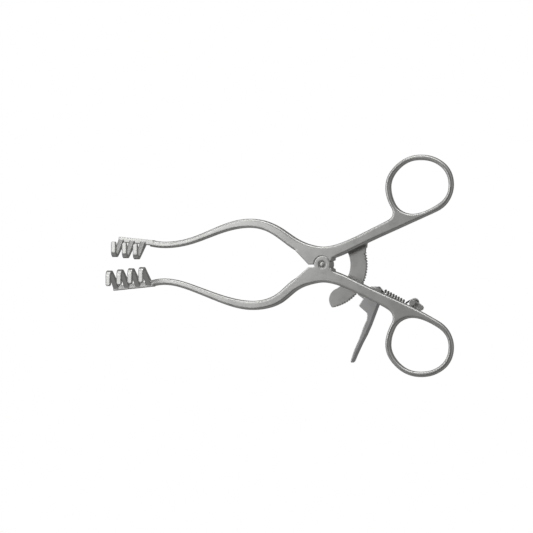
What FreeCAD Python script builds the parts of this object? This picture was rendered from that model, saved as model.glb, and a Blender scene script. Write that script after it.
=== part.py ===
import FreeCAD, Part
import Sketcher
import math
import os
import re

from FreeCAD import Placement, Rotation, Vector

# Self retaining retractor of satin stainless steel, laid flat with its prongs up.
# +X points to the finger rings, +Y to the upper arm and +Z to the side the prongs hook towards.
# The origin is on the joint's axis, in the joint's flat front face. Lengths are in mm, angles in degrees.

SIZES = {
    # the joint, where the two forgings lap at half their thickness
    "joint_radius": 3.85,
    "joint_thickness": 5.5,
    "joint_gap": 0.05,
    "joint_side_gap": 0.06,
    "boss_radius": 7.4,
    "open_face_angle": 22.9,
    "nose_clearance": 0.55,
    "pin_radius": 1.3,
    "pin_clearance": 0.03,
    "dome_depth": 0.02,
    "recess_radius": 1.75,
    "recess_depth": 0.45,
    "screw_head_radius": 2.7,
    "screw_head_thickness": 0.9,
    "screw_slot_width": 0.6,
    "screw_slot_depth": 0.45,
    # the prong arms, from the joint out to the comb
    "shank_thickness": 4.0,
    "shank_relief": 0.02,
    "edge_round": 0.95,
    "neck_thickness": 2.9,
    "neck_width": 2.9,
    "bow_width": 4.1,
    "shoulder_width": 4.9,
    "bow_reach": 36.5,
    "upper_bow_height": 18.7,
    "lower_bow_height": 18.4,
    "neck_reach": 72.0,
    "upper_neck_height": 9.15,
    "lower_neck_height": 8.15,
    "comb_reach": 83.0,
    "comb_tilt": 5.6,
    "lower_fullness": 0.075,
    # the comb of blunt hook prongs
    "prong_pitch": 5.3,
    "prong_width": 2.2,
    "first_upper_prong": 86.6,
    "first_lower_prong": 83.95,
    "comb_height": 2.4,
    "comb_thickness": 2.7,
    "prong_drop": 9.1,
    "prong_rise": 9.9,
    "prong_thickness": 1.3,
    "stem_thickness": 2.6,
    "prong_bend": 1.75,
    "prong_tip_drop": 2.0,
    # the handle shanks and the finger rings
    "shank_width": 4.9,
    "joint_shank_width": 6.0,
    "joint_centre_height": 5.1,
    "shank_angle": 24.2,
    "shank_offset": 2.95,
    "upper_ring_height": 35.0,
    "lower_ring_height": 36.2,
    "ring_reach": 45.9,
    "ring_wire_thickness": 2.8,
    # the ratchet bar behind the shanks
    "ratchet_outer_radius": 19.6,
    "ratchet_inner_radius": 12.1,
    "ratchet_thickness": 2.3,
    "ratchet_gap": 0.3,
    "tip_ease": 1.45,
    "tooth_pitch": 3.75,
    "tooth_depth": 0.6,
    "tooth_flat": 0.1,
    "tooth_count": 27,
    "rivet_radius": 0.9,
    "rivet_head_radius": 1.5,
    "rivet_head_thickness": 0.6,
    "rivet_depth": 2.6,
    # the release lever
    "lever_x": 23.3,
    "lever_y": -13.2,
    "lever_gap": 0.25,
    "lever_thickness": 3.6,
    "tongue_angle": -114.8,
    "seat_angle": 5.0,
    "seated_tooth_angle": -38.0,
    "pawl_engagement": 0.36,
    "pawl_flat": 0.08,
    "pawl_backlash": 0.07,
    "pawl_root_radius": 24.84,
    "lever_pin_radius": 1.25,
    "lever_thread_radius": 1.1,
    "lever_head_radius": 2.5,
    "lever_head_thickness": 1.1,
    "washer_radius": 2.9,
    "stud_radius": 0.6,
    "stud_x": 25.75,
    "stud_y": -12.2,
    "heel_slot": 1.7,
    "heel_cheek": 1.05,
    # the tension spring and its post
    "spring_radius": 1.75,
    "spring_wire": 0.62,
    "spring_coils": 8.0,
    "spring_pitch": 1.38,
    "spring_depth": 6.2,
    "spring_slope": 27.3,
    "spring_start": 1.85,
    "post_x": 42.2,
    "post_y": -17.2,
    "post_radius": 1.4,
    "post_length": 5.4,
    "post_front": 2.3,
    "post_foot_thickness": 1.3,
    "post_foot_length": 5.2,
    "post_rivet_radius": 0.8,
    "post_rivet_x": 40.7,
    "post_rivet_y": -20.9,
}

doc = FreeCAD.newDocument("Retractor")
sheet = doc.addObject("Spreadsheet::Sheet", "Sizes")
for row, (name, number) in enumerate(SIZES.items(), start=1):
    sheet.set(f"A{row}", name)
    sheet.set(f"B{row}", str(number))
    sheet.setAlias(f"B{row}", name)
doc.recompute()

parts = []


def size(name):
    """A driving dimension, read from the sheet."""
    return float(sheet.get(name))


def bound(rule):
    """A rule on the sheet's names, written as the other objects have to write it."""
    return re.sub(r"\b([a-z]+(?:_[a-z]+)+)\b", r"Sizes.\1", rule)


def polar(radius, angle, height=0.0):
    """The point at a radius and an angle in degrees round the joint's axis."""
    turn = math.radians(angle)
    return Vector(radius * math.cos(turn), radius * math.sin(turn), height)


def extruded(points, low, high):
    """A prism between two heights over a closed outline of straight runs."""
    corners = [Vector(x, y, low) for x, y in points]
    outline = Part.makePolygon(corners + corners[:1])
    return Part.Face(outline).extrude(Vector(0, 0, high - low))


def disc(radius, low, high, centre=Vector()):
    """A round plate or bore between two heights."""
    return Part.makeCylinder(radius, high - low, Vector(centre.x, centre.y, low))


def add_solid(label, shape):
    """A sub-part whose free form is set here from the sheet's sizes."""
    piece = doc.addObject("Part::Feature", label)
    piece.Label = label
    piece.Shape = shape
    piece.Placement = Placement()
    parts.append(piece)
    return piece


def add_body(label):
    """A sub-part that is built from sketches."""
    body = doc.addObject("PartDesign::Body", label)
    body.Label = label
    parts.append(body)
    return body


def origin_feature(body, role):
    return next(f for f in body.Origin.OriginFeatures if f.Role == role)


def new_sketch(body, name, height="0", role="XY_Plane"):
    """A sketch on one of the body's own planes, lifted to a height worked out from the sheet."""
    sketch = body.newObject("Sketcher::SketchObject", name)
    sketch.AttachmentSupport = [(origin_feature(body, role), "")]
    sketch.MapMode = "FlatFace"
    sketch.setExpression("AttachmentOffset.Base.z", bound(height))
    return sketch


def draw_circle(sketch, radius, x="0", y="0"):
    """A circle whose radius and centre follow expressions on the sheet."""
    at = Vector(sheet.evalExpression(x), sheet.evalExpression(y), 0)
    edge = sketch.addGeometry(Part.Circle(at, Vector(0, 0, 1), sheet.evalExpression(radius)))
    for kind, rule, geometry in (
        ("Radius", radius, (edge,)),
        ("DistanceX", x, (edge, 3)),
        ("DistanceY", y, (edge, 3)),
    ):
        if kind != "Radius" and rule == "0":
            continue
        number = sketch.addConstraint(Sketcher.Constraint(kind, *geometry, sheet.evalExpression(rule)))
        sketch.setExpression(f"Constraints[{number}]", bound(rule))
    return edge


def draw_outline(sketch, corners):
    """A closed outline of straight runs, each corner held by two expressions on the sheet."""
    points = [Vector(sheet.evalExpression(x), sheet.evalExpression(y), 0) for x, y in corners]
    edges = [
        sketch.addGeometry(Part.LineSegment(start, end))
        for start, end in zip(points, points[1:] + points[:1])
    ]
    for edge, following in zip(edges, edges[1:] + edges[:1]):
        sketch.addConstraint(Sketcher.Constraint("Coincident", edge, 2, following, 1))
    for edge, (x, y) in zip(edges, corners):
        for kind, rule in (("DistanceX", x), ("DistanceY", y)):
            value = sheet.evalExpression(rule)
            number = sketch.addConstraint(Sketcher.Constraint(kind, edge, 1, value))
            sketch.setExpression(f"Constraints[{number}]", bound(rule))


def draw_chain(sketch, corners):
    """A closed outline of straight runs and arcs. A corner that starts an arc names its radius and, roughly,
    where it passes."""
    points = [Vector(sheet.evalExpression(c[0]), sheet.evalExpression(c[1]), 0) for c in corners]
    ends = []
    for corner, start, end in zip(corners, points, points[1:] + points[:1]):
        if len(corner) == 2:
            ends.append((sketch.addGeometry(Part.LineSegment(start, end)), 1, 2))
            continue
        edge = sketch.addGeometry(Part.Arc(start, corner[3], end))
        backwards = (corner[3] - start).cross(end - corner[3]).z < 0
        ends.append((edge, 2, 1) if backwards else (edge, 1, 2))
    for (edge, first, last), (following, following_first, _) in zip(ends, ends[1:] + ends[:1]):
        sketch.addConstraint(Sketcher.Constraint("Coincident", edge, last, following, following_first))
    for (edge, first, last), corner in zip(ends, corners):
        for kind, rule in zip(("DistanceX", "DistanceY"), corner):
            number = sketch.addConstraint(Sketcher.Constraint(kind, edge, first, sheet.evalExpression(rule)))
            sketch.setExpression(f"Constraints[{number}]", bound(rule))
        if len(corner) > 2:
            radius = sheet.evalExpression(corner[2])
            number = sketch.addConstraint(Sketcher.Constraint("Radius", edge, radius))
            sketch.setExpression(f"Constraints[{number}]", bound(corner[2]))


def add_pad(body, sketch, name, length):
    pad = body.newObject("PartDesign::Pad", name)
    pad.Profile = sketch
    pad.setExpression("Length", bound(length))
    doc.recompute()
    return pad


def add_pocket(body, sketch, name, length, reverse=False):
    pocket = body.newObject("PartDesign::Pocket", name)
    pocket.Profile = sketch
    pocket.Reversed = reverse
    pocket.setExpression("Length", bound(length))
    doc.recompute()
    return pocket


def add_revolution(body, sketch, name):
    turned = body.newObject("PartDesign::Revolution", name)
    turned.Profile = sketch
    turned.ReferenceAxis = (sketch, ["V_Axis"])
    turned.Angle = 360
    doc.recompute()
    return turned


# An arm's strap: one flat bar that swells and thins from the comb to the finger ring, its edges forged round.

# The handle's edge from the ring's centre: X, Y, and how far the point follows the ring when the ring is moved.
HANDLE_EDGE = [
    (-18.3, -16.7, 0.0),
    (-14.9, -15.05, 0.2),
    (-13.1, -13.75, 0.4),
    (-12.4, -12.1, 0.5),
    (-12.55, -10.5, 0.7),
    (-13.65, -8.4, 0.9),
    (-14.85, -5.7, 1.0),
    (-15.65, -2.9, 1.0),
    (-15.85, 0.6, 1.0),
    (-15.05, 4.2, 1.0),
    (-13.0, 7.6, 1.0),
    (-10.0, 10.6, 1.0),
    (-6.1, 13.0, 1.0),
    (-1.9, 14.25, 1.0),
    (2.1, 14.45, 1.0),
    (6.0, 13.8, 1.0),
    (9.8, 12.2, 1.0),
    (13.1, 9.7, 1.0),
    (15.3, 6.4, 1.0),
    (16.3, 2.7, 1.0),
    (16.3, -0.6, 1.0),
    (15.5, -3.7, 1.0),
    (13.6, -7.1, 1.0),
    (10.7, -9.85, 1.0),
    (7.1, -11.7, 0.8),
    (2.7, -13.6, 0.4),
    (-5.3, -16.95, 0.1),
    (-13.0, -20.15, 0.0),
]

# The finger opening's edge from the ring's centre.
RING_OPENING = [
    (-13.76, -0.21),
    (-13.37, 2.56),
    (-12.07, 5.29),
    (-9.94, 7.83),
    (-6.82, 10.2),
    (-2.6, 11.75),
    (1.1, 12.0),
    (5.2, 11.55),
    (9.0, 10.0),
    (11.95, 7.5),
    (13.55, 4.76),
    (14.15, 1.98),
    (14.1, -0.87),
    (13.29, -3.5),
    (11.1, -6.3),
    (7.75, -8.6),
    (3.7, -10.6),
    (0.0, -11.8),
    (-3.45, -12.15),
    (-6.3, -11.7),
    (-8.9, -10.5),
    (-11.0, -8.6),
    (-12.49, -5.93),
    (-13.43, -3.12),
]


def centre_line(side, bow_height, neck_height, fullness):
    """Centre points of the arm from the comb to the shank, each with the bar's width there."""
    bow = size("bow_reach")
    neck = size("neck_reach")
    middle = size("joint_centre_height")
    slope = math.tan(math.radians(size("shank_angle")))
    offset = size("shank_offset")
    comb = size("comb_reach")
    comb_rise = (comb - neck) * math.tan(math.radians(size("comb_tilt"))) / 2
    rise = bow_height - neck_height
    fall = bow_height - middle
    wide = size("bow_width")
    narrow = size("neck_width")
    heavy = size("shoulder_width")
    joint = size("joint_shank_width")
    handle = size("shank_width")
    points = [
        (-comb, neck_height + comb_rise, narrow),
        (-neck, neck_height, narrow),
        (-neck + 0.23 * (neck - bow), neck_height + (0.165 + 0.66 * fullness) * rise, narrow),
        (-neck + 0.66 * (neck - bow), neck_height + 0.74 * rise, 0.83 * wide),
        (-bow, bow_height, wide),
        (-0.775 * bow, middle + (0.93 + 0.5 * fullness) * fall, 1.02 * wide),
        (-0.575 * bow, middle + (0.68 + fullness) * fall, 0.5 * (wide + heavy)),
        (-0.36 * bow, middle + 0.3 * fall, heavy),
        (-0.17 * bow, middle + 0.085 * fall, 0.5 * (heavy + joint)),
        (0.0, middle, joint),
        (0.2 * bow, 0.2 * bow * slope + offset + 0.3, 0.5 * (handle + joint)),
        (0.5 * bow, 0.5 * bow * slope + offset, handle),
    ]
    return [(Vector(x, side * y, 0), width) for x, y, width in points]


def in_runs(curve, stops):
    """A curve's edges between some of its parameters."""
    edges = []
    for start, stop in zip(stops, stops[1:]):
        run = curve.copy()
        run.segment(start, stop)
        edges.append(run.toShape())
    return edges


def strap(side, bow_height, neck_height, ring_height, fullness):
    """The whole bar with its ring: its flat outline, thinned from the back, the edges rounded."""
    stations = centre_line(side, bow_height, neck_height, fullness)
    line = Part.BSplineCurve()
    line.interpolate([point for point, width in stations])
    outer = []
    inner = []
    for point, width in stations:
        along = line.tangent(line.parameter(point))[0]
        away = Vector(-along.y, along.x, 0) * (side * width / 2)
        outer.append(point + away)
        inner.append(point - away)
    reach = size("ring_reach")
    base = size("upper_ring_height")
    handle = [
        Vector(reach + x, side * (base + y + share * (ring_height - base)), 0)
        for x, y, share in HANDLE_EDGE
    ]
    round_points = outer + handle + inner[::-1]
    edge = Part.BSplineCurve()
    edge.interpolate(round_points)
    stops = [edge.parameter(point) for point in round_points[:-1:3] + round_points[-1:]]
    outline = Part.Wire(in_runs(edge, stops) + [Part.LineSegment(inner[0], outer[0]).toShape()])
    ring_points = [Vector(reach + x, side * (ring_height + y), 0) for x, y in RING_OPENING]
    hole = Part.BSplineCurve()
    hole.interpolate(Points=ring_points, PeriodicFlag=True)
    stops = [hole.parameter(point) for point in ring_points[::4]]
    stops[0] = hole.FirstParameter
    opening = Part.Wire(in_runs(hole, stops + [hole.LastParameter]))
    plate = Part.Face([outline, opening])
    plate.validate()
    bar = rounded(thinned(plate.extrude(Vector(0, 0, -2 * size("shank_thickness")))))
    bar.translate(Vector(0, 0, -size("shank_relief")))
    return bar


def thinned(plate):
    """The plate cut to the bar's thickness, less at the neck and at the ring, with no step between them."""
    full = size("shank_thickness")
    thin = size("neck_thickness")
    wire = size("ring_wire_thickness")
    neck = size("neck_reach")
    bow = size("bow_reach")
    reach = size("ring_reach")
    slope = (full - thin) / 4
    back = [(x, thin) for x in (-130, -110, -neck - 18, -neck - 11, -neck - 4)]
    back += [(-neck + (neck - bow) * part / 4, thin + slope * part) for part in (1, 2, 3)]
    back += [(x, full) for x in (-bow - 2, -bow + 6, -0.6 * bow, -0.3 * bow, 0, 10, 19, 0.6 * reach)]
    back += [(0.72 * reach, full - 0.15), (0.84 * reach, 0.5 * (full + wire)), (0.96 * reach, wire)]
    back += [(x, wire) for x in (1.12 * reach, 1.3 * reach, 75, 90)]
    curve = Part.BSplineCurve()
    curve.buildFromPoles([Vector(x, 0, -z) for x, z in back], False, 3)
    start = Vector(-130, 0, 0)
    end = Vector(90, 0, 0)
    sides = [
        Part.LineSegment(start, curve.StartPoint).toShape(),
        curve.toShape(),
        Part.LineSegment(curve.EndPoint, end).toShape(),
        Part.LineSegment(end, start).toShape(),
    ]
    slab = Part.Face(Part.Wire(sides)).extrude(Vector(0, 200, 0))
    slab.translate(Vector(0, -100, 0))
    return plate.common(slab)


def rounded(plate):
    """The plate with its long edges rounded, front and back."""
    chosen = [
        edge
        for edge in plate.Edges
        if edge.Length > 3.5 and edge.BoundBox.XLength + edge.BoundBox.YLength > 3.5
    ]
    return plate.makeFillet(size("edge_round"), chosen)


def prong():
    """One blunt hook, in the plane across the comb: a tapered stem, a round bend and a return with a round tip.
    Its own X is the drop from the comb's outer edge to the midline and its own Z the rise to the front."""
    thickness = size("prong_thickness")
    bend = size("prong_bend")
    outer = bend + thickness / 2
    inner = bend - thickness / 2
    hub = Vector(size("prong_drop") - outer, 0, size("prong_rise") - outer)
    root = Vector(size("comb_height") * 0.6, 0, -size("comb_thickness") / 2)
    reach = (hub - root).Length
    lean = math.atan2(hub.z - root.z, hub.x - root.x) - math.asin(bend / reach)
    across = Vector(math.sin(lean), 0, -math.cos(lean))
    half_stem = size("stem_thickness") / 2
    low_start = root + across * half_stem
    high_start = root - across * half_stem
    spread = math.asin((half_stem - thickness / 2) / reach)
    low_across = Vector(math.sin(lean + spread), 0, -math.cos(lean + spread))
    high_across = Vector(math.sin(lean - spread), 0, -math.cos(lean - spread))
    low_end = hub + low_across * outer
    high_end = hub + high_across * inner
    quarter = (lean + math.pi / 2) / 2
    turn_side = Vector(math.cos(quarter - math.pi / 4 + 0.35), 0, math.sin(quarter - math.pi / 4 + 0.35))
    tip = size("prong_tip_drop")
    edges = [
        Part.LineSegment(low_start, low_end).toShape(),
        Part.Arc(low_end, hub + turn_side * outer, hub + Vector(0, 0, outer)).toShape(),
        Part.LineSegment(hub + Vector(0, 0, outer), Vector(tip, 0, hub.z + outer)).toShape(),
        Part.LineSegment(Vector(tip, 0, hub.z + outer), Vector(tip, 0, hub.z + inner)).toShape(),
        Part.LineSegment(Vector(tip, 0, hub.z + inner), hub + Vector(0, 0, inner)).toShape(),
        Part.Arc(hub + Vector(0, 0, inner), hub + turn_side * inner, high_end).toShape(),
        Part.LineSegment(high_end, high_start).toShape(),
        Part.LineSegment(high_start, low_start).toShape(),
    ]
    width = size("prong_width")
    solid = Part.Face(Part.Wire(edges)).extrude(Vector(0, width, 0))
    solid.translate(Vector(0, -width / 2, 0))
    tip_edges = [
        edge
        for edge in solid.Edges
        if abs(edge.CenterOfMass.x - tip) < 1e-6 and abs(edge.CenterOfMass.y) > width / 2 - 1e-6
    ]
    return solid.makeFillet(0.42 * width, tip_edges)


def comb(side, neck_height, first, count):
    """The comb: a flat bar at the arm's end with a row of hooks that turn towards the front."""
    tilt = math.radians(size("comb_tilt"))
    start_x = size("comb_reach") - 1.5
    rise = (size("comb_reach") - size("neck_reach")) * math.tan(tilt) / 2
    top = neck_height + rise + size("neck_width") / 2
    outward = Vector(-math.cos(tilt), side * math.sin(tilt), 0)
    inward = Vector(-math.sin(tilt), -side * math.cos(tilt), 0)
    corner = Vector(-start_x, side * (top - 1.5 * math.tan(tilt)), 0)
    last = first + (count - 1) * size("prong_pitch") + size("prong_width") / 2
    length = (last - start_x) / math.cos(tilt)
    high = size("comb_height")
    bar = extruded(
        [(p.x, p.y) for p in (
            corner,
            corner + outward * length,
            corner + outward * length + inward * high,
            corner + inward * high,
        )],
        -size("comb_thickness"),
        -2 * size("shank_relief"),
    )
    pieces = [bar]
    hook = prong()
    for number in range(count):
        away = (first + number * size("prong_pitch") - start_x) / math.cos(tilt)
        at = corner + outward * away
        copy = hook.copy()
        copy.rotate(Vector(), Vector(0, 0, 1), -side * 90)
        copy.translate(at)
        pieces.append(copy)
    return pieces


def shoulder(side, edge_height):
    """The solid part round the joint: the step in front, and the thicker boss behind it."""
    thickness = size("joint_thickness")
    angle = math.radians(size("open_face_angle"))
    nose = size("joint_radius") + 2.55
    corner = Vector(math.cos(angle), math.sin(angle), 0) * (size("joint_radius") + 1.15)
    crotch = [
        (nose * -1, side * edge_height),
        (edge_height / math.tan(angle), side * edge_height),
        (corner.x, side * corner.y),
        (corner.x + 0.13, side * (corner.y + 1.15)),
        (2 * corner.x, side * 5.5),
    ]
    step = [(-2.05 * nose, side * 6.6), (-nose - 0.5, side * (edge_height + 0.35))] + crotch
    step += [(2 * corner.x, side * 7.2), (0, side * 6.0), (-6.0, side * 7.0)]
    boss = [(-3 * nose, side * (edge_height + 0.35))] + crotch
    boss += [(2 * corner.x, side * 12.0), (-3 * nose, side * 12.0)]
    front = extruded(step, size("shank_relief") - size("shank_thickness"), -size("shank_relief") / 2)
    back = extruded(boss, -thickness, -size("shank_thickness") / 2)
    return [front, back.common(disc(size("boss_radius"), -thickness, 0))]


def arm(side, heights, first_prong, prong_count, front_lug, edge_height, fullness):
    """One forging: comb, bowed arm, half of the lap joint, shank and finger ring."""
    bow_height, neck_height, ring_height = heights
    thickness = size("joint_thickness")
    middle = thickness / 2
    gap = size("joint_gap") / 2
    lug_low, lug_high = (-middle + gap, 0) if front_lug else (-thickness, -middle - gap)
    seat_low, seat_high = (-thickness - 1, -middle + gap) if front_lug else (-middle - gap, 1)
    body = strap(side, bow_height, neck_height, ring_height, fullness)
    body = body.fuse(shoulder(side, edge_height))
    body = body.cut(disc(size("joint_radius") + size("joint_side_gap"), seat_low, seat_high))
    body = body.fuse(disc(size("joint_radius"), lug_low, lug_high))
    body = body.fuse(comb(side, neck_height, first_prong, prong_count))
    play = 0 if front_lug else size("pin_clearance")
    body = body.cut(disc(size("pin_radius") + play, -thickness - 1, 1))
    if len(body.Solids) != 1:
        raise RuntimeError("an arm came out in more than one piece")
    return body.Solids[0]


def rivet_places():
    """Centres of the two rivets, on the upper shank's centre line and inside the bar's outer edge."""
    slope = math.tan(math.radians(size("shank_angle")))
    outer = size("ratchet_outer_radius")
    places = (0.65816 * outer, 0.89796 * outer)
    return [Vector(x, x * slope + size("shank_offset"), 0) for x in places]


shank_back = -size("shank_thickness")
upper = arm(
    1,
    [size("upper_bow_height"), size("upper_neck_height"), size("upper_ring_height")],
    size("first_upper_prong"),
    3,
    False,
    0.0,
    0.0,
)
for place in rivet_places():
    hole = disc(size("rivet_radius"), shank_back - 1, shank_back + size("rivet_depth"), place)
    upper = upper.cut(hole)
add_solid("upper_arm", upper)

lower = arm(
    -1,
    [size("lower_bow_height"), size("lower_neck_height"), size("lower_ring_height")],
    size("first_lower_prong"),
    4,
    True,
    2 * size("nose_clearance"),
    size("lower_fullness"),
)
lever_centre = Vector(size("lever_x"), size("lever_y"), 0)
lower = lower.cut(disc(size("recess_radius"), -size("recess_depth"), 1))
lower = lower.cut(disc(size("lever_thread_radius"), shank_back - 1, shank_back + 3.0, lever_centre))
post_rivet_centre = Vector(size("post_rivet_x"), size("post_rivet_y"), 0)
lower = lower.cut(disc(size("post_rivet_radius"), shank_back - 1, shank_back + 2.2, post_rivet_centre))
add_solid("lower_arm", lower)


# joint_screw: pinned in the lower arm's lug, its dome sunk in the countersink, its slotted head behind.
body = add_body("joint_screw")
sketch = new_sketch(body, "JointScrewProfile", role="XZ_Plane")
draw_outline(sketch, [
    ("0", "-dome_depth"),
    ("0.45 * pin_radius", "-dome_depth - 0.04"),
    ("0.75 * pin_radius", "-dome_depth - 0.13"),
    ("0.93 * pin_radius", "-dome_depth - 0.26"),
    ("pin_radius", "-recess_depth"),
    ("pin_radius", "-joint_thickness - joint_gap"),
    ("screw_head_radius - 0.2", "-joint_thickness - joint_gap"),
    ("screw_head_radius", "-joint_thickness - joint_gap - 0.2"),
    ("screw_head_radius", "-joint_thickness - joint_gap - 0.6 * screw_head_thickness"),
    ("screw_head_radius - 0.35", "-joint_thickness - joint_gap - screw_head_thickness"),
    ("0", "-joint_thickness - joint_gap - screw_head_thickness"),
])
add_revolution(body, sketch, "JointScrew")
sketch = new_sketch(body, "JointScrewSlot", "-joint_thickness - joint_gap - screw_head_thickness")
draw_outline(sketch, [
    ("-2 * screw_head_radius", "-0.5 * screw_slot_width"),
    ("2 * screw_head_radius", "-0.5 * screw_slot_width"),
    ("2 * screw_head_radius", "0.5 * screw_slot_width"),
    ("-2 * screw_head_radius", "0.5 * screw_slot_width"),
])
add_pocket(body, sketch, "JointScrewSlotCut", "screw_slot_depth", reverse=True)

# ratchet_bar: a curved bar on the joint's own centre, riveted by its root behind the upper shank.
body = add_body("ratchet_bar")
bar_front = "-(shank_thickness + shank_relief + ratchet_gap)"
bar_back = f"{bar_front} - ratchet_thickness"
outer = size("ratchet_outer_radius")
inner = size("ratchet_inner_radius")
tip_radius = "0.5 * (ratchet_outer_radius - ratchet_inner_radius) + tip_ease"
leaf_end = Vector(0.352 * outer - sheet.evalExpression(tip_radius), -0.81 * outer, 0)
sketch = new_sketch(body, "BarOutline", bar_front)
draw_chain(sketch, [
    (
        "ratchet_outer_radius * cos(-80.5deg)",
        "ratchet_outer_radius * sin(-80.5deg)",
        "ratchet_outer_radius",
        polar(outer, -33.0),
    ),
    ("ratchet_outer_radius * cos(14deg)", "ratchet_outer_radius * sin(14deg)"),
    ("1.012 * ratchet_outer_radius", "0.58 * ratchet_outer_radius"),
    ("0.995 * ratchet_outer_radius", "0.655 * ratchet_outer_radius"),
    ("0.53 * ratchet_outer_radius", "0.448 * ratchet_outer_radius"),
    (
        "ratchet_inner_radius * cos(30.8deg)",
        "ratchet_inner_radius * sin(30.8deg)",
        "ratchet_inner_radius",
        polar(inner, -18.0),
    ),
    (
        "ratchet_inner_radius * cos(-66deg)",
        "ratchet_inner_radius * sin(-66deg)",
        tip_radius,
        leaf_end,
    ),
])
pad = add_pad(body, sketch, "Bar", "ratchet_thickness")
pad.Reversed = True

sketch = new_sketch(body, "BarRoot", bar_front)
root_low = "shank_offset - 0.36 * shank_width"
root_high = "shank_offset + 0.36 * shank_width"
draw_outline(sketch, [
    ("0.53 * ratchet_outer_radius", f"0.53 * ratchet_outer_radius * tan(shank_angle * 1deg) + {root_low}"),
    ("0.96 * ratchet_outer_radius", f"0.96 * ratchet_outer_radius * tan(shank_angle * 1deg) + {root_low}"),
    ("0.96 * ratchet_outer_radius", f"0.96 * ratchet_outer_radius * tan(shank_angle * 1deg) + {root_high}"),
    ("0.53 * ratchet_outer_radius", f"0.53 * ratchet_outer_radius * tan(shank_angle * 1deg) + {root_high}"),
])
add_pad(body, sketch, "BarRootBoss", "ratchet_gap")

for index, place in enumerate(rivet_places()):
    sketch = new_sketch(body, f"RivetHole{index}", "0")
    draw_circle(sketch, "rivet_radius", f"{place.x}", f"{place.x} * tan(shank_angle * 1deg) + shank_offset")
    add_pocket(body, sketch, f"RivetBore{index}", "2 * shank_thickness")


def notch_sketch(name, height, first, depth, flat):
    """One notch's outline at the outer edge, drawn along X and turned to its own angle."""
    notch = new_sketch(body, name, height)
    notch.AttachmentOffset = Placement(
        Vector(0, 0, sheet.evalExpression(height)), Rotation(Vector(0, 0, 1), first)
    )
    rim = "ratchet_outer_radius"
    draw_outline(notch, [
        (f"{rim} - {depth}", f"-{flat}"),
        (f"{rim} + 2 * {depth}", f"-{flat} - 3 * {depth}"),
        (f"{rim} + 2 * {depth}", f"{flat} + 3 * {depth} * tan(10deg)"),
        (f"{rim} - {depth}", f"{flat}"),
    ])
    return notch


first_notch = size("seated_tooth_angle") - 10 * size("tooth_pitch")
sketch = notch_sketch("Notch", bar_back, first_notch, "tooth_depth", "0.5 * tooth_flat")
pocket = add_pocket(body, sketch, "NotchCut", "0.5 * ratchet_thickness", reverse=True)


def repeat_round(name, original, count):
    """Copies of a notch, one tooth apart round the joint's axis."""
    pattern = body.newObject("PartDesign::PolarPattern", name)
    pattern.Originals = [original]
    pattern.Axis = (origin_feature(body, "Z_Axis"), [""])
    pattern.Occurrences = count
    pattern.Angle = (count - 1) * size("tooth_pitch")
    body.Tip = pattern
    doc.recompute()


repeat_round("Notches", pocket, int(size("tooth_count")))
sketch = notch_sketch("OuterNotch", bar_front, first_notch, "0.85 * tooth_depth", "0.5 * tooth_flat")
pocket = add_pocket(body, sketch, "OuterNotchCut", "0.5 * ratchet_thickness")
repeat_round("OuterNotches", pocket, 9)
root_notch = size("seated_tooth_angle") + 12 * size("tooth_pitch")
sketch = notch_sketch("RootNotch", bar_front, root_notch, "0.85 * tooth_depth", "0.5 * tooth_flat")
pocket = add_pocket(body, sketch, "RootNotchCut", "0.5 * ratchet_thickness")
repeat_round("RootNotches", pocket, 3)

# ratchet_rivet_inner and ratchet_rivet_outer: the two rivets through the bar's root.
for label, place in zip(("ratchet_rivet_inner", "ratchet_rivet_outer"), rivet_places()):
    body = add_body(label)
    sketch = new_sketch(body, f"{label}_profile", role="XZ_Plane")
    draw_outline(sketch, [
        ("0", "-shank_thickness + rivet_depth"),
        ("rivet_radius", "-shank_thickness + rivet_depth"),
        ("rivet_radius", bar_back),
        ("rivet_head_radius", bar_back),
        ("rivet_head_radius", f"{bar_back} - 0.35 * rivet_head_thickness"),
        ("0.75 * rivet_head_radius", f"{bar_back} - 0.8 * rivet_head_thickness"),
        ("0.35 * rivet_head_radius", f"{bar_back} - rivet_head_thickness"),
        ("0", f"{bar_back} - rivet_head_thickness"),
    ])
    add_revolution(body, sketch, f"{label}_turned")
    body.Placement = Placement(place, Rotation())

# release_lever: drawn in the photographed pose, its tooth just clear of the notches.
body = add_body("release_lever")
lever_front = "-(shank_thickness + shank_relief + lever_gap)"
lever_back = f"{lever_front} - lever_thickness"
tongue = "(tongue_angle * 1deg)"


def on_tongue(along, across):
    """A point of the tongue, as expressions: its distance from the pivot, and how far it is to the right of the
    line that leaves the pivot at the tongue's angle."""
    return (
        f"lever_x + {along} * cos{tongue} - {across} * sin{tongue}",
        f"lever_y + {along} * sin{tongue} + {across} * cos{tongue}",
    )


sketch = new_sketch(body, "LeverOutline", lever_front)
draw_outline(sketch, [
    ("lever_x - 1.4", "lever_y + 3.35"),
    ("lever_x - 6.75", "lever_y - 4.75"),
    ("lever_x - 7.1", "lever_y - 5.3"),
    ("lever_x - 6.7", "lever_y - 5.85"),
    ("lever_x - 3.35", "lever_y - 8.6"),
    ("lever_x - 3.1", "lever_y - 9.6"),
    on_tongue(12.05, 1.82),
    on_tongue(15.3, 1.77),
    on_tongue(21.6, 2.15),
    on_tongue(26.5, 2.1),
    on_tongue(30.6, 2.45),
    on_tongue(32.3, 2.7),
    on_tongue(32.75, 3.2),
    on_tongue(31.95, 3.6),
    on_tongue(28.75, 3.59),
    on_tongue(23.5, 3.7),
    on_tongue(18.56, 4.06),
    on_tongue(13.64, 4.1),
    ("lever_x + 0.3", "lever_y - 8.3"),
    ("lever_x + 1.6", "lever_y - 5.1"),
    ("lever_x + 3.5", "lever_y + 0.1"),
    ("lever_x + 3.3", "lever_y + 1.5"),
    ("lever_x + 1.7", "lever_y + 3.3"),
])
pad = add_pad(body, sketch, "Lever", "lever_thickness")
pad.Reversed = True

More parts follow.
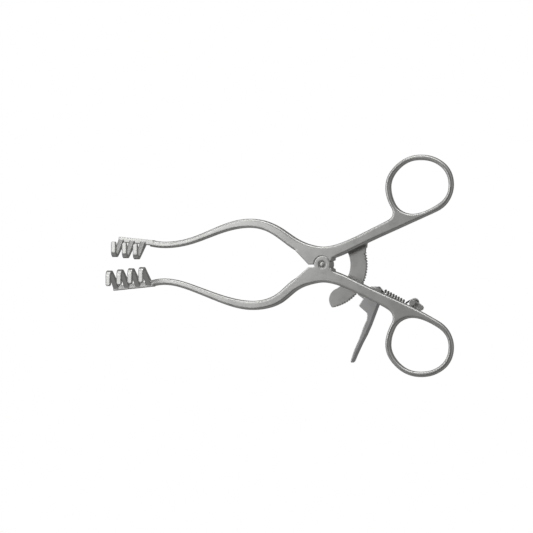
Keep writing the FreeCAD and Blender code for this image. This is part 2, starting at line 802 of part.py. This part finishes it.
sketch = new_sketch(body, "PawlOutline", lever_back)
pivot = lever_centre
seat = Rotation(Vector(0, 0, 1), size("seat_angle"))
seated = Rotation(Vector(0, 0, 1), size("seated_tooth_angle"))
sketch.AttachmentOffset = Placement(
    pivot - seat.multVec(pivot) + Vector(0, 0, sheet.evalExpression(lever_back)), seat.multiply(seated)
)
apex = "(ratchet_outer_radius - pawl_engagement)"
draw_outline(sketch, [
    (apex, "-0.5 * pawl_flat"),
    (f"{apex} + 0.75", "-0.5 * pawl_flat - 0.75"),
    ("pawl_root_radius", "-0.5 * pawl_flat - 1.0"),
    ("pawl_root_radius", "2.3"),
    (f"{apex} + 1.2", "0.5 * pawl_flat + 1.2 * tan(20deg)"),
    (apex, "0.5 * pawl_flat"),
])
add_pad(body, sketch, "Pawl", "0.5 * ratchet_thickness + lever_thickness - ratchet_thickness - pawl_backlash")

sketch = new_sketch(body, "LeverBore", "0")
draw_circle(sketch, "lever_pin_radius + 0.02", "lever_x", "lever_y")
add_pocket(body, sketch, "LeverBoreCut", "3 * lever_thickness")

slot_front = f"{lever_front} - heel_cheek"
sketch = new_sketch(body, "HeelSlot", slot_front)
draw_outline(sketch, [
    ("stud_x - 1.35", "stud_y - 1.6"),
    ("stud_x + 4", "stud_y - 3.8"),
    ("stud_x + 4", "stud_y + 3.6"),
    ("stud_x - 1.35", "stud_y + 1.5"),
])
add_pocket(body, sketch, "HeelSlotCut", "heel_slot")

sketch = new_sketch(body, "StudBore", lever_front)
draw_circle(sketch, "stud_radius", "stud_x", "stud_y")
add_pocket(body, sketch, "StudBoreCut", "lever_thickness")

# lever_stud: the cross pin in the heel's slot, flush with both cheeks.
body = add_body("lever_stud")
sketch = new_sketch(body, "StudSection", lever_back)
draw_circle(sketch, "stud_radius", "stud_x", "stud_y")
add_pad(body, sketch, "Stud", "lever_thickness")

# lever_washer: the thin ring that keeps the lever off the shank.
body = add_body("lever_washer")
sketch = new_sketch(body, "WasherSection", "-(shank_thickness + shank_relief)")
draw_circle(sketch, "washer_radius", "lever_x", "lever_y")
draw_circle(sketch, "lever_pin_radius", "lever_x", "lever_y")
pad = add_pad(body, sketch, "Washer", "lever_gap - joint_gap")
pad.Reversed = True

# lever_screw: the shouldered screw the lever swings on.
body = add_body("lever_screw")
sketch = new_sketch(body, "LeverScrewProfile", role="XZ_Plane")
draw_outline(sketch, [
    ("0", "-shank_thickness + 2.8"),
    ("lever_thread_radius", "-shank_thickness + 2.8"),
    ("lever_thread_radius", "-shank_thickness - shank_relief"),
    ("lever_pin_radius", "-shank_thickness - shank_relief"),
    ("lever_pin_radius", f"{lever_back} - joint_gap"),
    ("lever_head_radius - 0.15", f"{lever_back} - joint_gap"),
    ("lever_head_radius", f"{lever_back} - joint_gap - 0.15"),
    ("lever_head_radius", f"{lever_back} - joint_gap - 0.7 * lever_head_thickness"),
    ("lever_head_radius - 0.35", f"{lever_back} - joint_gap - lever_head_thickness"),
    ("0", f"{lever_back} - joint_gap - lever_head_thickness"),
])
add_revolution(body, sketch, "LeverScrew")
sketch = new_sketch(body, "LeverScrewSlot", f"{lever_back} - joint_gap - lever_head_thickness")
draw_outline(sketch, [
    ("-2 * lever_head_radius", "-0.5 * screw_slot_width"),
    ("2 * lever_head_radius", "-0.5 * screw_slot_width"),
    ("2 * lever_head_radius", "0.5 * screw_slot_width"),
    ("-2 * lever_head_radius", "0.5 * screw_slot_width"),
])
add_pocket(body, sketch, "LeverScrewSlotCut", "screw_slot_depth", reverse=True)
body.Placement = Placement(lever_centre, Rotation(Vector(0, 0, 1), -35))

# spring_post: a round dog beside the shank, on a foot that is riveted to the shank's back.
body = add_body("spring_post")
sketch = new_sketch(body, "PostSection", "-post_front")
draw_circle(sketch, "post_radius", "post_x", "post_y")
pad = add_pad(body, sketch, "Post", "post_length")
pad.Reversed = True
sketch = new_sketch(body, "FootOutline", "-(shank_thickness + shank_relief)")
draw_outline(sketch, [
    ("post_x + 1.1 * post_radius", "post_y + 0.5"),
    ("post_x + 4.2", "post_y - 1.3"),
    ("post_x + 4.7", "post_y - 2.1"),
    ("post_x + 4.3", "post_y - 3.2"),
    ("post_x + 3.1", "post_y - 3.6"),
    ("post_rivet_x + 1.45", "post_rivet_y - 0.9"),
    ("post_rivet_x + 0.6", "post_rivet_y - 1.6"),
    ("post_rivet_x - 0.6", "post_rivet_y - 1.55"),
    ("post_rivet_x - 1.45", "post_rivet_y - 0.6"),
    ("post_x - 1.15 * post_radius", "post_y + 0.3"),
])
pad = add_pad(body, sketch, "Foot", "post_foot_thickness")
pad.Reversed = True
sketch = new_sketch(body, "FootHole", "0")
draw_circle(sketch, "post_rivet_radius", "post_rivet_x", "post_rivet_y")
add_pocket(body, sketch, "FootBore", "3 * shank_thickness")

# post_rivet: holds the post's foot.
body = add_body("post_rivet")
foot_back = "-(shank_thickness + shank_relief) - post_foot_thickness"
sketch = new_sketch(body, "PostRivetProfile", role="XZ_Plane")
draw_outline(sketch, [
    ("0", "-shank_thickness + 2.2"),
    ("post_rivet_radius", "-shank_thickness + 2.2"),
    ("post_rivet_radius", foot_back),
    ("1.6 * post_rivet_radius", foot_back),
    ("1.5 * post_rivet_radius", f"{foot_back} - 0.3"),
    ("0.8 * post_rivet_radius", f"{foot_back} - 0.5"),
    ("0", f"{foot_back} - 0.5"),
])
add_revolution(body, sketch, "PostRivet")
body.Placement = Placement(post_rivet_centre, Rotation())


def rod(start, end, radius):
    """A straight length of wire."""
    along = end - start
    return Part.makeCylinder(radius, along.Length, start, along)


def spring_shape():
    """The tension spring: open coils, with an eye round the stud and an eye round the post."""
    wire = size("spring_wire") / 2
    radius = size("spring_radius")
    pitch = size("spring_pitch")
    length = pitch * size("spring_coils")
    depth = -size("spring_depth")
    slope = math.radians(-size("spring_slope"))
    axis = Vector(math.cos(slope), math.sin(slope), 0)
    stud = Vector(size("stud_x"), size("stud_y"), depth)
    post = Vector(size("post_x"), size("post_y"), depth)
    start = stud + axis * size("spring_start")
    helix = Part.Wire(Part.makeHelix(pitch, length, radius).Edges)
    section_at = Vector(radius, 0, 0)
    end_section = Part.Wire([Part.Circle(section_at, Vector(0, 1, 0), wire).toShape()])
    coils = helix.makePipeShell([end_section], True, True)
    turn = Rotation(Vector(0, 0, 1), axis)
    coils.Placement = Placement(start, turn)
    first = start + turn.multVec(Vector(radius, 0, 0))
    last = start + turn.multVec(Vector(radius, 0, length))
    stud_eye = size("stud_radius") + wire + 0.03
    post_eye = size("post_radius") + wire + 0.03
    towards_coils = Vector(last.x - post.x, last.y - post.y, 0).normalize()
    near_stud = stud + axis * stud_eye
    near_post = post + towards_coils * post_eye
    pieces = [
        Part.makeTorus(stud_eye, wire, stud, Vector(0, 0, 1)),
        Part.makeTorus(post_eye, wire, post, Vector(0, 0, 1)),
        rod(near_stud, first, 0.96 * wire),
        rod(last, near_post, 0.96 * wire),
        Part.makeSphere(1.05 * wire, first),
        Part.makeSphere(1.05 * wire, last),
    ]
    shape = coils.fuse(pieces)
    return shape.Solids[0] if len(shape.Solids) == 1 else shape


# return_spring: pulls the heel towards the post, which swings the tooth into the ratchet.
add_solid("return_spring", spring_shape())

doc.recompute()
os.makedirs("parts", exist_ok=True)
for piece in parts:
    if "Invalid" in piece.State or "Error" in piece.State:
        raise RuntimeError(f"{piece.Label} did not recompute: {piece.State}")
    if piece.Shape.isNull() or not piece.Shape.isValid():
        raise RuntimeError(f"{piece.Label} has no valid shape")
    print(piece.Label, len(piece.Shape.Solids), round(piece.Shape.Volume, 2), piece.Shape.BoundBox)
    piece.Shape.exportStep(f"parts/{piece.Label}.step")
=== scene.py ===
import math

import bpy
import numpy as np
from mathutils import Matrix, Vector


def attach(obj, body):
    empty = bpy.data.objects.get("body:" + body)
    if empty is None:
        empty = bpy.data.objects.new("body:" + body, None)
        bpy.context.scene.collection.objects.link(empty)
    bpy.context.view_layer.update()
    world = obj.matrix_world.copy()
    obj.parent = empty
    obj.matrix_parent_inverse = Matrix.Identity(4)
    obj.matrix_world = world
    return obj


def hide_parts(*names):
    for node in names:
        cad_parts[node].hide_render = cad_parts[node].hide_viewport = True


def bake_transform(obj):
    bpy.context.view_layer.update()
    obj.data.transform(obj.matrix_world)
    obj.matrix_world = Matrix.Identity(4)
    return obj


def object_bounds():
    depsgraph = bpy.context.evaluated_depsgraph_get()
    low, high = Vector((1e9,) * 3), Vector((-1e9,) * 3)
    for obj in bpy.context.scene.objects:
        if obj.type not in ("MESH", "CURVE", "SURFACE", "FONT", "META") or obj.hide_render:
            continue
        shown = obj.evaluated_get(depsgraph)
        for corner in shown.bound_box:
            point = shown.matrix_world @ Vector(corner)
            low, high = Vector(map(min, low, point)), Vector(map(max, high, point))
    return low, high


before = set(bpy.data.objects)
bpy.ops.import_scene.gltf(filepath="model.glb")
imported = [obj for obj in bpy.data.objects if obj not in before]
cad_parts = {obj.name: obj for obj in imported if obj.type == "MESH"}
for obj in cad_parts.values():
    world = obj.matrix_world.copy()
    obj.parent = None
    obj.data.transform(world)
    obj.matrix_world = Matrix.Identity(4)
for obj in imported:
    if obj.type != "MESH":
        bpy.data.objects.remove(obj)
cad_low, cad_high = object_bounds()


# The two arms. Each is one stainless forging, from its hook prongs through the bowed arm and the
# lap of the joint to its finger ring. It is ground to shape, then blasted with glass beads, which
# leaves a fine even grain that kills glare, so that only its rounded edges catch the light.
def linear(code):
    """A colour written as sRGB hex, as the linear values that a shader takes: a straight line
    near black and a power of 2.4 above it."""
    channels = [int(code[at : at + 2], 16) / 255 for at in (0, 2, 4)]
    return [c / 12.92 if c <= 0.04045 else ((c + 0.055) / 1.055) ** 2.4 for c in channels] + [1.0]


def add_node(tree, kind, settings=(), links=()):
    """A shader node: its properties and input values by name, then its inputs linked to sockets.
    Inputs that share a name go by number."""
    node = tree.nodes.new(f"ShaderNode{kind}")
    for name, value in dict(settings).items():
        if isinstance(name, int) or name in node.inputs:
            node.inputs[name].default_value = value
        else:
            setattr(node, name, value)
    for name, socket in dict(links).items():
        tree.links.new(socket, node.inputs[name])
    return node


# What all the finishes share: stains some 7 mm across, how far the grain moves the roughness, how
# much smoother a worn edge is, and how strongly the grain tilts the surface. Every real grain is
# finer than a pixel, so each is drawn several times as coarse, to show.
stain_mm = 7.0
edge_samples = 16
rough_swing = 0.06
worn_gloss = 0.05
grain_bump = 0.06


def steel(name, clean, stained, rough, grain_mm, depth_mm, edge_mm, stretch=(1.0, 1.0, 1.0)):
    """Stainless steel. A noise of the grain's size roughens it and a slow cloud stains it. Where
    the rounded normal leaves the true one, at an edge, it is worn a little smoother."""
    material = bpy.data.materials.new(name)
    material.use_nodes = True
    tree = material.node_tree
    tree.nodes.clear()
    place = add_node(tree, "TexCoord").outputs["Object"]
    drawn = add_node(tree, "Mapping", {"Scale": stretch}, {"Vector": place}).outputs["Vector"]
    grain = add_node(
        tree,
        "TexNoise",
        {"Scale": 1000 / grain_mm, "Detail": 2.0, "Roughness": 0.65},
        {"Vector": drawn},
    ).outputs["Fac"]
    cloud = add_node(
        tree,
        "TexNoise",
        {"Scale": 1000 / stain_mm, "Detail": 5.0, "Roughness": 0.6},
        {"Vector": place},
    ).outputs["Fac"]
    rounded = add_node(
        tree, "Bevel", {"samples": edge_samples, "Radius": edge_mm / 1000}
    ).outputs["Normal"]
    facing = add_node(
        tree,
        "VectorMath",
        {"operation": "DOT_PRODUCT"},
        {0: rounded, 1: add_node(tree, "NewGeometry").outputs["Normal"]},
    ).outputs["Value"]
    worn = add_node(
        tree, "MapRange", {"From Min": 0.97, "From Max": 0.75}, {"Value": facing}
    ).outputs["Result"]
    stain = add_node(
        tree, "MapRange", {"From Min": 0.45, "From Max": 0.75}, {"Value": cloud}
    ).outputs["Result"]
    colour = add_node(
        tree,
        "Mix",
        {"data_type": "RGBA", "A": linear(clean), "B": linear(stained)},
        {"Factor": stain},
    ).outputs["Result"]
    matt = add_node(
        tree,
        "MapRange",
        {"To Min": rough - rough_swing, "To Max": rough + rough_swing},
        {"Value": grain},
    ).outputs["Result"]
    gloss = add_node(
        tree, "Math", {"operation": "MULTIPLY_ADD", 1: -worn_gloss}, {0: worn, 2: matt}
    ).outputs["Value"]
    bump = add_node(
        tree,
        "Bump",
        {"Strength": grain_bump, "Distance": depth_mm / 1000},
        {"Height": grain, "Normal": rounded},
    ).outputs["Normal"]
    shader = add_node(
        tree,
        "BsdfPrincipled",
        {"Metallic": 1.0},
        {"Base Color": colour, "Roughness": gloss, "Normal": bump},
    )
    add_node(tree, "OutputMaterial", (), {"Surface": shader.outputs["BSDF"]})
    return material


def dress(material, *names):
    """Gives CAD nodes their finish."""
    for name in names:
        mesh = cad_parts[name].data
        mesh.materials.clear()
        mesh.materials.append(material)


# The beads leave pits near 0.05 mm, which are drawn six times as coarse.
blasted = steel(
    "glass-bead blasted stainless steel",
    clean="b8b8b6",
    stained="aaaaa8",
    rough=0.4,
    grain_mm=0.3,
    depth_mm=0.012,
    edge_mm=0.8,
)
dress(blasted, "upper_arm", "lower_arm")

# The joint screw and the lever's screw, washer and cross pin. They are turned from bar, the screws
# with a slot for the fitter's driver. The fine rings that the tool leaves are drawn as a grain,
# which makes them a little darker and duller than the arms.
turned = steel(
    "turned stainless steel",
    clean="b0b0ae",
    stained="a2a2a0",
    rough=0.42,
    grain_mm=0.25,
    depth_mm=0.004,
    edge_mm=0.3,
)
dress(turned, "joint_screw", "lever_screw", "lever_washer", "lever_stud")


# The rim of the joint screw. The screw's front end is peened out into the countersink of the lug,
# and the steel that it spreads fills the sink to just below the face.
def turned_ring(name, profile_mm, sides, material, body):
    """A closed profile of radius and height, carried round the joint's axis."""
    radius, height = np.array(profile_mm).T / 1000
    around = np.linspace(0, 2 * np.pi, sides, endpoint=False)[:, None]
    points = np.stack(
        [radius * np.cos(around), radius * np.sin(around), height + 0 * around], axis=2
    ).reshape(-1, 3)
    corners = len(profile_mm)
    here = np.arange(sides)[:, None] * corners
    beside = (np.arange(sides)[:, None] + 1) % sides * corners
    at = np.arange(corners)[None, :]
    after = (at + 1) % corners
    faces = np.stack([here + at, here + after, beside + after, beside + at], axis=2)
    mesh = bpy.data.meshes.new(name)
    mesh.from_pydata(points.tolist(), [], faces.reshape(-1, 4).tolist())
    mesh.polygons.foreach_set("use_smooth", [True] * len(mesh.polygons))
    mesh.materials.append(material)
    piece = bpy.data.objects.new(name, mesh)
    bpy.context.scene.collection.objects.link(piece)
    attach(piece, body)


rim_mm = [
    (1.31, -0.44),
    (1.74, -0.44),
    (1.74, -0.2),
    (1.68, -0.14),
    (1.52, -0.12),
    (1.4, -0.17),
    (1.31, -0.3),
]
rim_sides = 64
turned_ring("screw_rim", rim_mm, rim_sides, turned, "lower_arm")

# The ratchet bar. It is milled from plate, with the notches cut into its outer edge, and its faces
# are ground. The wheel leaves fine lines along the bar, so the grain is drawn out that way.
ground = steel(
    "ground stainless plate",
    clean="b4b4b2",
    stained="a4a4a2",
    rough=0.36,
    grain_mm=0.25,
    depth_mm=0.008,
    edge_mm=0.2,
    stretch=(1.0, 0.25, 1.0),
)
dress(ground, "ratchet_bar")

# The rivets. Two hold the ratchet bar's root behind the upper shank and one holds the post's foot.
# They are of soft stainless wire, and the hammer that peens them leaves their heads coarser and
# darker than the plate.
riveted = steel(
    "peened stainless rivet",
    clean="a6a6a4",
    stained="949492",
    rough=0.38,
    grain_mm=0.4,
    depth_mm=0.02,
    edge_mm=0.2,
)
dress(riveted, "ratchet_rivet_inner", "ratchet_rivet_outer", "post_rivet")

# The release lever. It is cut from thick plate and tumbled, which softens its edges and leaves it
# a little smoother than the arms. The thumb presses its long tongue.
tumbled = steel(
    "tumbled stainless plate",
    clean="bababa",
    stained="acacaa",
    rough=0.38,
    grain_mm=0.3,
    depth_mm=0.01,
    edge_mm=0.5,
)
dress(tumbled, "release_lever")

# The spring post. It is a turned dog on a foot that is riveted behind the lower shank. Its end is
# polished, so it is lighter than the arms and its highlights are sharper.
polished = steel(
    "polished stainless steel",
    clean="c8c8c6",
    stained="b8b8b6",
    rough=0.3,
    grain_mm=0.3,
    depth_mm=0.002,
    edge_mm=0.3,
)
dress(polished, "spring_post")


# The return spring. It is wound from one length of hard drawn stainless wire, with open coils and
# an eye at each end: one round the lever's cross pin, one round the post. Drawing leaves the wire
# smooth, so that it shows dark coils with a thin highlight.
def ring_arc(centre, radius, start, end, count):
    """Points of a level circle: the cosine of the angle along x and its sine along y, between two
    angles in degrees."""
    around = np.radians(np.linspace(start, end, count))[:, None]
    across, along = np.array([1, 0, 0]), np.array([0, 1, 0])
    return centre + radius * (np.cos(around) * across + np.sin(around) * along)


def bridge(start, leaving, end, arriving, count):
    """The cubic through two points with the given velocities at its ends, without its two ends."""
    t = np.linspace(0, 1, count + 2)[1:-1, None]
    return (
        (2 * t**3 - 3 * t**2 + 1) * start
        + (t**3 - 2 * t**2 + t) * leaving
        + (3 * t**2 - 2 * t**3) * end
        + (t**3 - t**2) * arriving
    )


def wire(name, path, radius, sides, material):
    """A round wire: at each point of the path, a circle in the plane square to the path. The
    circle's first direction is carried from point to point, each time made square to the path
    again, so it never twists. A fan of triangles closes each end."""
    along = np.gradient(path, axis=0)
    along /= np.linalg.norm(along, axis=1)[:, None]
    across = np.empty_like(path)
    off_the_wire = [0.3, 0.4, 0.87]
    previous = np.cross(along[0], off_the_wire)
    for at, direction in enumerate(along):
        previous = previous - direction * (previous @ direction)
        previous /= np.linalg.norm(previous)
        across[at] = previous
    beside = np.cross(along, across)
    around = np.linspace(0, 2 * np.pi, sides, endpoint=False)[None, :, None]
    circle = np.cos(around) * across[:, None] + np.sin(around) * beside[:, None]
    skin = path[:, None] + radius * circle
    points = np.vstack([skin.reshape(-1, 3), path[:1], path[-1:]])
    rows = np.arange(len(path) - 1)[:, None] * sides
    here = np.arange(sides)[None, :]
    there = (here + 1) % sides
    walls = np.stack(
        [rows + here, rows + there, rows + sides + there, rows + sides + here], axis=2
    )
    last = (len(path) - 1) * sides
    near_tip, far_tip = len(points) - 2, len(points) - 1
    near_cap = [(near_tip, int(b), int(a)) for a, b in zip(here[0], there[0])]
    far_cap = [(far_tip, last + int(a), last + int(b)) for a, b in zip(here[0], there[0])]
    mesh = bpy.data.meshes.new(name)
    mesh.from_pydata(points.tolist(), [], walls.reshape(-1, 4).tolist() + near_cap + far_cap)
    mesh.polygons.foreach_set("use_smooth", [True] * len(mesh.polygons))
    mesh.materials.append(material)
    piece = bpy.data.objects.new(name, mesh)
    bpy.context.scene.collection.objects.link(piece)
    return piece


stud = np.array([25.75, -12.2, -6.2]) / 1000
post = np.array([42.2, -17.2, -6.2]) / 1000
wire_radius = 0.42 / 1000
wire_sides = 12
stud_eye = 0.94 / 1000
post_eye = 1.74 / 1000
coil_radius = 1.75 / 1000
coil_pitch = 1.38 / 1000
coils = 8
coil_points = 28
first_coil = 1.85 / 1000
slope_degrees = -27.3
slope = math.radians(slope_degrees)
axis = np.array([math.cos(slope), math.sin(slope), 0])

# The coils start at the back of the axis and a little above it. The axis and the two directions
# across it are of length 1 and square to one another.
outward = np.array(
    [math.sin(slope) ** 2, -math.sin(slope) * math.cos(slope), -math.cos(slope)]
)
sideways = np.cross(axis, outward)
turns = np.linspace(0, 2 * np.pi * coils, coil_points * coils + 1)[:, None]
helix = (
    stud
    + axis * (first_coil + coil_pitch * turns / (2 * np.pi))
    + coil_radius * (np.cos(turns) * outward + np.sin(turns) * sideways)
)

# Each eye is an open ring. Its angles are counted from the direction towards the other eye.
stud_opens, stud_closes = 20, -320
post_opens, post_closes = -30, -340
stud_points, post_points = 30, 40
back_degrees = slope_degrees + 180
near = ring_arc(
    stud, stud_eye, slope_degrees + stud_opens, slope_degrees + stud_closes, stud_points
)
far = ring_arc(post, post_eye, back_degrees + post_opens, back_degrees + post_closes, post_points)

# A bend leads from each eye into the coils. Its speed at an end is so many of the steps between
# the points there.
eye_steps, coil_steps, bend_points = 8, 5, 10
path = np.vstack(
    [
        near,
        bridge(
            near[-1],
            (near[-1] - near[-2]) * eye_steps,
            helix[0],
            (helix[1] - helix[0]) * coil_steps,
            bend_points,
        ),
        helix,
        bridge(
            helix[-1],
            (helix[-1] - helix[-2]) * coil_steps,
            far[0],
            (far[1] - far[0]) * eye_steps,
            bend_points,
        ),
        far,
    ]
)
drawn_wire = steel(
    "hard drawn stainless wire",
    clean="9c9c9a",
    stained="8a8a88",
    rough=0.27,
    grain_mm=0.2,
    depth_mm=0.002,
    edge_mm=0.05,
)
spring = wire("spring_coils", path, wire_radius, wire_sides, drawn_wire)
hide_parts("return_spring")
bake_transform(spring)

# The camera. A long lens looks from 20 degrees to the right of square-on, level with the joint,
# and is moved sideways so that the joint stands where the photograph has it.
turn = math.radians(20)
towards = Vector((math.sin(turn), 0, math.cos(turn)))
right = Vector((math.cos(turn), 0, -math.sin(turn)))
up = Vector((0, 1, 0))
distance = 4.0
far_limit = 20
sensor_mm = 36
picture_pixels = 533
pixels_per_metre = 2213.5
joint_right_pixels = 55.5
joint_up_pixels = 1.9
camera_data = bpy.data.cameras.new("camera")
camera = bpy.data.objects.new("camera", camera_data)
bpy.context.scene.collection.objects.link(camera)
bpy.context.scene.camera = camera
camera.matrix_world = Matrix((right, up, towards)).transposed().to_4x4()
camera.location = (
    towards * distance
    - right * (joint_right_pixels / pixels_per_metre)
    - up * (joint_up_pixels / pixels_per_metre)
)
camera_data.sensor_width = sensor_mm
camera_data.lens = sensor_mm * pixels_per_metre * distance / picture_pixels
camera_data.clip_end = far_limit
bpy.context.scene.view_settings.view_transform = "Standard"

# The room. Steel takes its tones from it: the flat faces mirror the dim part overhead and the
# edges the bright part lower down, more so on the upper arm's side. The camera sees plain white.
lower_down, lower_glow = 0.3, 0.66
overhead, overhead_glow = 0.97, 0.12
upper_side_glow = 0.17
plain_white = linear("ffffff")
world = bpy.data.worlds.new("studio")
bpy.context.scene.world = world
world.use_nodes = True
tree = world.node_tree
tree.nodes.clear()
direction = add_node(
    tree, "SeparateXYZ", (), {"Vector": add_node(tree, "TexCoord").outputs["Generated"]}
)
dimmed = add_node(
    tree,
    "MapRange",
    {"From Min": lower_down, "From Max": overhead, "To Min": lower_glow, "To Max": overhead_glow},
    {"Value": direction.outputs["Z"]},
).outputs["Result"]
bright = add_node(
    tree,
    "Math",
    {"operation": "MULTIPLY_ADD", 1: upper_side_glow},
    {0: direction.outputs["Y"], 2: dimmed},
).outputs["Value"]
dome = add_node(tree, "Background", {"Color": plain_white}, {"Strength": bright})
paper = add_node(tree, "Background", {"Color": plain_white, "Strength": 1.0})
seen = add_node(tree, "LightPath").outputs["Is Camera Ray"]
mixed = add_node(
    tree,
    "MixShader",
    (),
    {0: seen, 1: dome.outputs["Background"], 2: paper.outputs["Background"]},
).outputs["Shader"]
add_node(tree, "OutputWorld", (), {"Surface": mixed})


# The soft boxes. One stands over the prongs, so the light on the flat faces falls off towards the
# rings. A long one beyond the upper arm draws the thin highlights along the upper edges.
def soft_box(name, place, aim, width, height, power):
    """A flat light that faces a point."""
    data = bpy.data.lights.new(name, "AREA")
    data.shape = "RECTANGLE"
    data.size = width
    data.size_y = height
    data.energy = power
    light = bpy.data.objects.new(name, data)
    light.location = place
    light.rotation_euler = (Vector(aim) - Vector(place)).to_track_quat("-Z", "Y").to_euler()
    bpy.context.scene.collection.objects.link(light)


soft_box(
    "box over the prongs",
    place=(-0.205, 0.05, 0.26),
    aim=(-0.06, 0, 0),
    width=0.16,
    height=0.16,
    power=0.24,
)
soft_box(
    "strip beyond the upper arm",
    place=(-0.08, 0.45, 0.24),
    aim=(0, 0, 0),
    width=0.5,
    height=0.2,
    power=1.0,
)

# The table. It is a sheet of white paper that is lit so evenly that it shows no shadow. It is seen
# from above only, so that the underside of the retractor can be looked at.
table_gap = 0.0002
table_reach = 3
table_glow = 0.26
height = cad_low.z - table_gap
table_mesh = bpy.data.meshes.new("table")
table_mesh.from_pydata(
    [
        (-table_reach, -table_reach, height),
        (table_reach, -table_reach, height),
        (table_reach, table_reach, height),
        (-table_reach, table_reach, height),
    ],
    [],
    [(0, 1, 2, 3)],
)
table = bpy.data.objects.new("table", table_mesh)
bpy.context.scene.collection.objects.link(table)
table_paper = bpy.data.materials.new("white paper")
table_paper.use_nodes = True
tree = table_paper.node_tree
tree.nodes.clear()
cast = add_node(tree, "Emission", {"Color": plain_white, "Strength": table_glow})
shown = add_node(tree, "Emission", {"Color": plain_white, "Strength": 1.0})
seen = add_node(tree, "LightPath").outputs["Is Camera Ray"]
above = add_node(
    tree,
    "MixShader",
    (),
    {0: seen, 1: cast.outputs["Emission"], 2: shown.outputs["Emission"]},
).outputs["Shader"]
below = add_node(tree, "BsdfTransparent").outputs["BSDF"]
under = add_node(tree, "NewGeometry").outputs["Backfacing"]
one_sided = add_node(tree, "MixShader", (), {0: under, 1: above, 2: below}).outputs["Shader"]
add_node(tree, "OutputMaterial", (), {"Surface": one_sided})
table_mesh.materials.append(table_paper)
